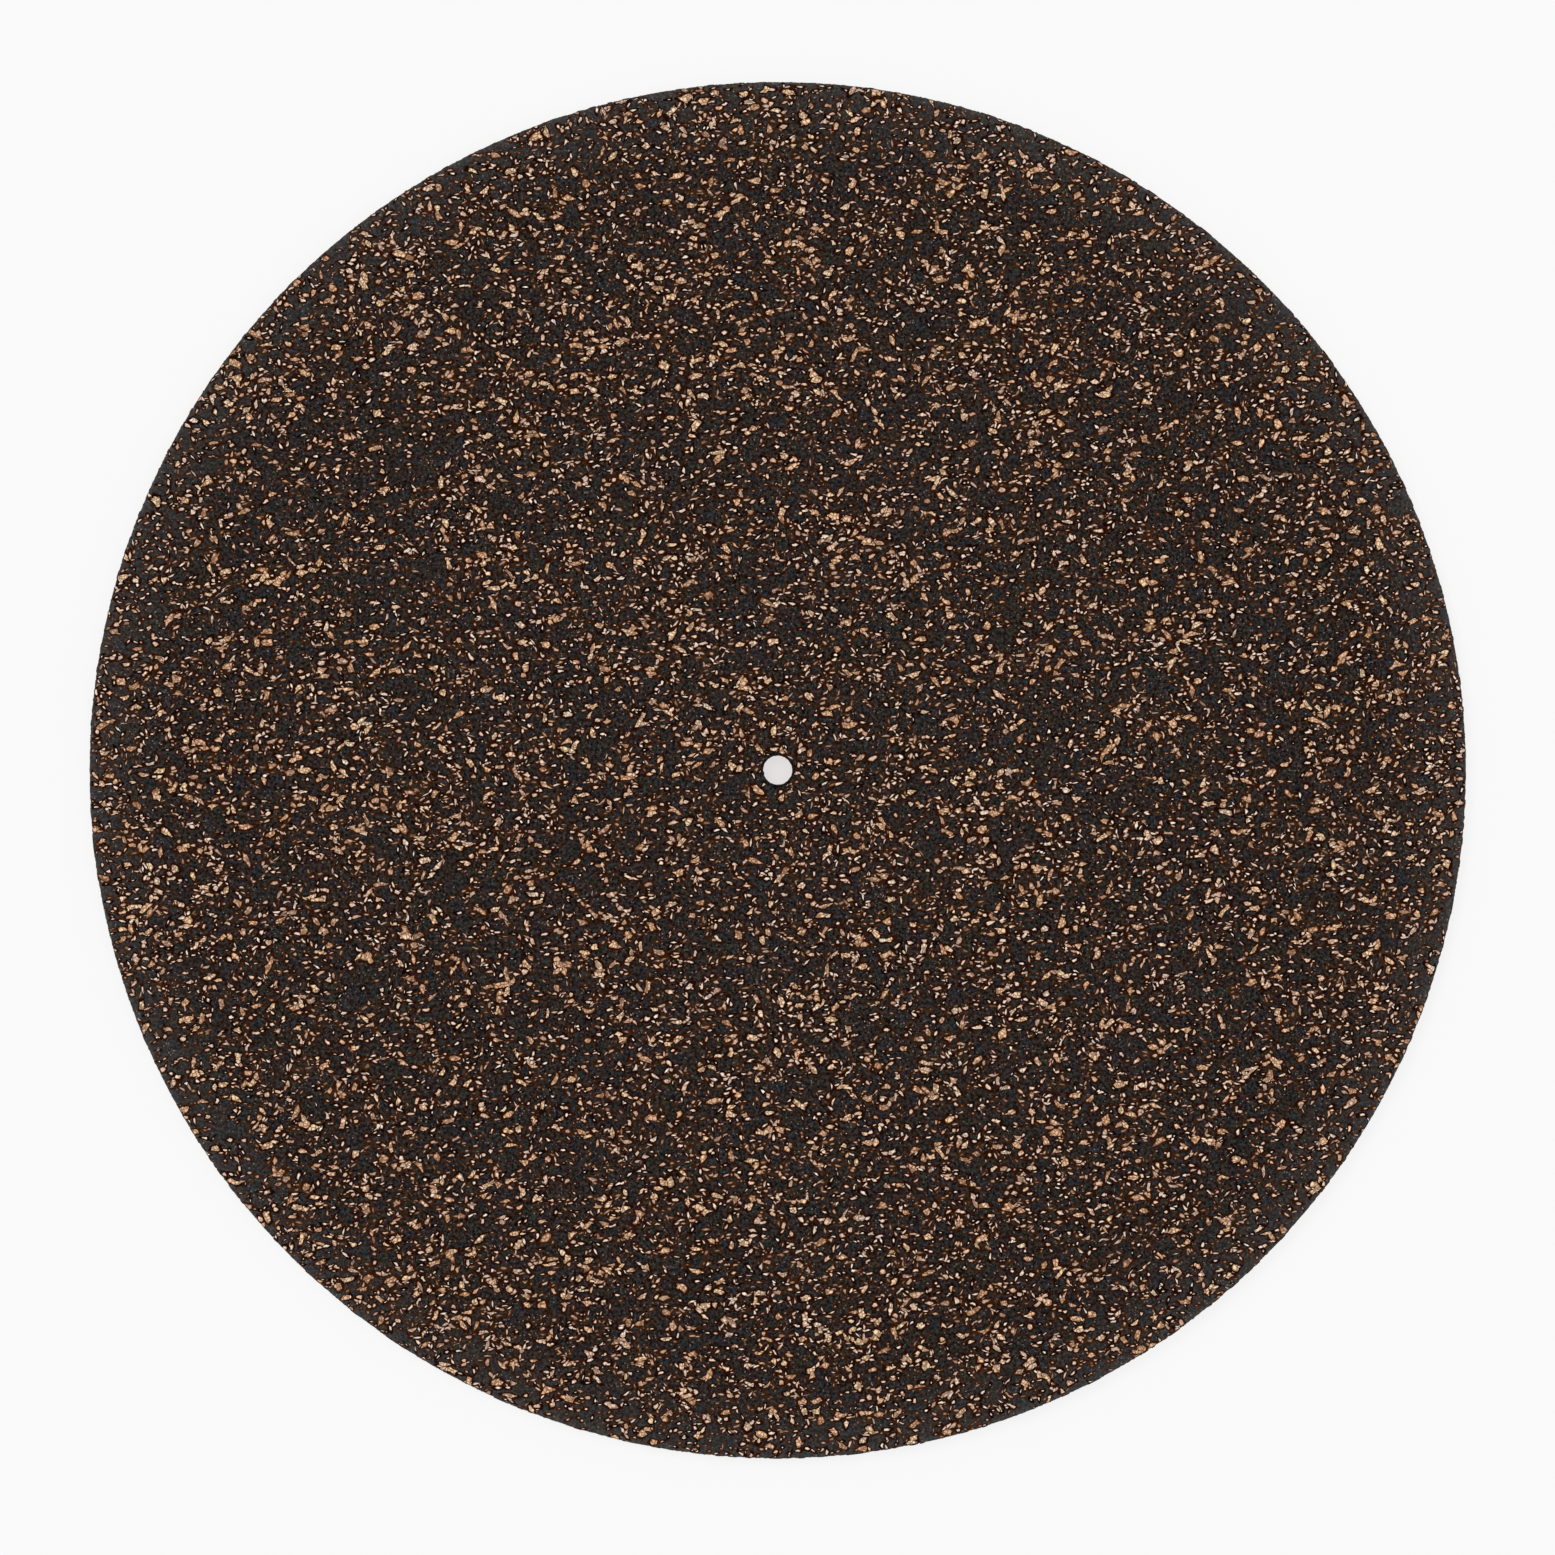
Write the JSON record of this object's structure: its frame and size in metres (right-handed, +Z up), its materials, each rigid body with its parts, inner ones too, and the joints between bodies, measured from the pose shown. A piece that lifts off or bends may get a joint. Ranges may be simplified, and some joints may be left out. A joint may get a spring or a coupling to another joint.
{
  "type": "turntable platter mat",
  "caption": "Flat round mat of cork granules bound in black rubber, with a spindle hole at its centre, that lies on a record player's platter.",
  "frame": {"origin": "centre of the spindle hole, on the underside", "axes": "+Z up along the axis of the spindle hole, out of the face that carries the record; +X along the grain of the sheet"},
  "size_m": [0.3, 0.3, 0.003],
  "materials": {
    "cork_rubber": "matte black rubber full of tan and pale cork granules, strewn along one grain direction"
  },
  "bodies": {
    "root": {"platter_mat": "cork_rubber"}
  },
  "joints": []
}
